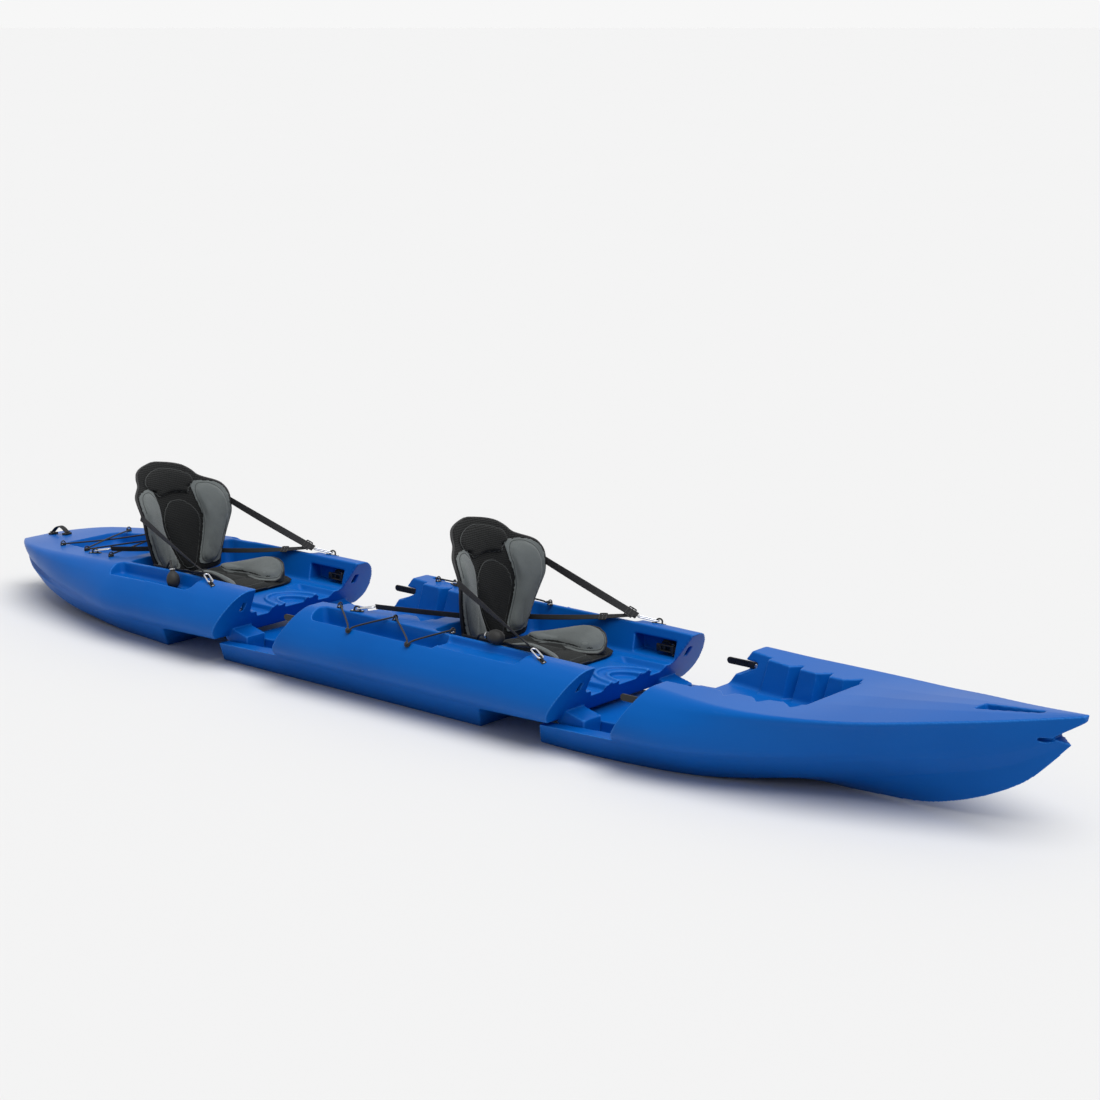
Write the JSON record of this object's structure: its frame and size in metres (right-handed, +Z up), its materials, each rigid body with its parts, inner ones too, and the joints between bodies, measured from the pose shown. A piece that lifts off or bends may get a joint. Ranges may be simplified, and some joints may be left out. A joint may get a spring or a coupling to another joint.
{
  "type": "tandem kayak",
  "caption": "Sit-on-top tandem kayak in three sections that slide together on stepped tongues, drawn up by ladder straps, with strapped folding seats.",
  "frame": {"origin": "centre of the pulled-apart boat on its flat bottom", "axes": "+X to the bow, +Y to port, +Z up"},
  "size_m": [4.648, 0.7574, 0.5981],
  "materials": {
    "hull": "rotomoulded polyethylene, satin",
    "ladder_strap": "satin",
    "bolt": "bright",
    "ratchet": "satin",
    "seat_black": "mesh and woven cover",
    "seat_grey": "knitted cover",
    "webbing": "woven webbing",
    "pump": "matte",
    "hook": "bright",
    "fitting": "satin",
    "stud": "bright",
    "bungee": "braided cover"
  },
  "bodies": {
    "mid": {"mid_hull": "hull", "mid_ladder_strap_port": "ladder_strap", "mid_ladder_strap_starboard": "ladder_strap", "mid_strap_bolts": "bolt", "mid_ratchet_base_port": "ratchet", "mid_ratchet_base_starboard": "ratchet", "front_seat_pad": "seat_black", "front_thigh_bolster_port": "seat_grey", "front_thigh_bolster_starboard": "seat_grey", "front_pump": "pump", "front_hose": "pump", "front_side_strap_port": "webbing", "front_side_strap_starboard": "webbing", "front_snap_hooks": "hook", "front_aft_strap_port": "webbing", "front_aft_strap_starboard": "webbing", "front_aft_hooks": "hook", "mid_pad_eyes": "fitting", "mid_bungee_port": "bungee", "mid_bungee_starboard": "bungee", "mid_bungee_fittings": "stud"},
    "stern": {"stern_hull": "hull", "stern_ratchet_base_port": "ratchet", "stern_ratchet_base_starboard": "ratchet", "rear_seat_pad": "seat_black", "rear_thigh_bolster_port": "seat_grey", "rear_thigh_bolster_starboard": "seat_grey", "rear_pump": "pump", "rear_hose": "pump", "rear_side_strap_port": "webbing", "rear_side_strap_starboard": "webbing", "rear_snap_hooks": "hook", "rear_aft_strap_port": "webbing", "rear_aft_strap_starboard": "webbing", "rear_aft_hooks": "hook", "stern_pad_eyes": "fitting", "stern_bungee": "bungee", "stern_bungee_eyes": "fitting", "stern_handle": "webbing", "stern_handle_ends": "fitting"},
    "bow": {"bow_hull": "hull", "bow_ladder_strap_port": "ladder_strap", "bow_ladder_strap_starboard": "ladder_strap", "bow_strap_bolts": "bolt"},
    "rear_back": {"rear_back_panel": "seat_black", "rear_head_pad": "seat_black", "rear_back_bolster_port": "seat_grey", "rear_back_bolster_starboard": "seat_grey"},
    "front_back": {"front_back_panel": "seat_black", "front_head_pad": "seat_black", "front_back_bolster_port": "seat_grey", "front_back_bolster_starboard": "seat_grey"},
    "stern_lever_port": {"stern_ratchet_lever_port": "ratchet"},
    "stern_lever_starboard": {"stern_ratchet_lever_starboard": "ratchet"},
    "mid_lever_port": {"mid_ratchet_lever_port": "ratchet"},
    "mid_lever_starboard": {"mid_ratchet_lever_starboard": "ratchet"}
  },
  "joints": [
    {"name": "stern_slide", "type": "slide", "parent": "mid", "child": "stern", "axis": [1, 0, 0], "range_m": [0, 0.298]},
    {"name": "bow_slide", "type": "slide", "parent": "mid", "child": "bow", "axis": [-1, 0, 0], "range_m": [0, 0.25]},
    {"name": "rear_back_fold", "type": "hinge", "parent": "stern", "child": "rear_back", "pos_m": [-1.336, 0, 0.24], "axis": [0, 1, 0], "range_deg": [0, 50], "deforming": ["rear_side_strap_port", "rear_side_strap_starboard", "rear_aft_strap_port", "rear_aft_strap_starboard"]},
    {"name": "front_back_fold", "type": "hinge", "parent": "mid", "child": "front_back", "pos_m": [0.1825, 0, 0.24], "axis": [0, 1, 0], "range_deg": [0, 50], "deforming": ["front_side_strap_port", "front_side_strap_starboard", "front_aft_strap_port", "front_aft_strap_starboard"]},
    {"name": "stern_lever_port_swing", "type": "hinge", "parent": "stern", "child": "stern_lever_port", "pos_m": [-0.806, 0.253, 0.217], "axis": [0, 0, 1], "range_deg": [0, 75]},
    {"name": "stern_lever_starboard_swing", "type": "hinge", "parent": "stern", "child": "stern_lever_starboard", "pos_m": [-0.806, -0.253, 0.217], "axis": [0, 0, -1], "range_deg": [0, 75]},
    {"name": "mid_lever_port_swing", "type": "hinge", "parent": "mid", "child": "mid_lever_port", "pos_m": [0.7125, 0.253, 0.217], "axis": [0, 0, 1], "range_deg": [0, 75]},
    {"name": "mid_lever_starboard_swing", "type": "hinge", "parent": "mid", "child": "mid_lever_starboard", "pos_m": [0.7125, -0.253, 0.217], "axis": [0, 0, -1], "range_deg": [0, 75]}
  ]
}
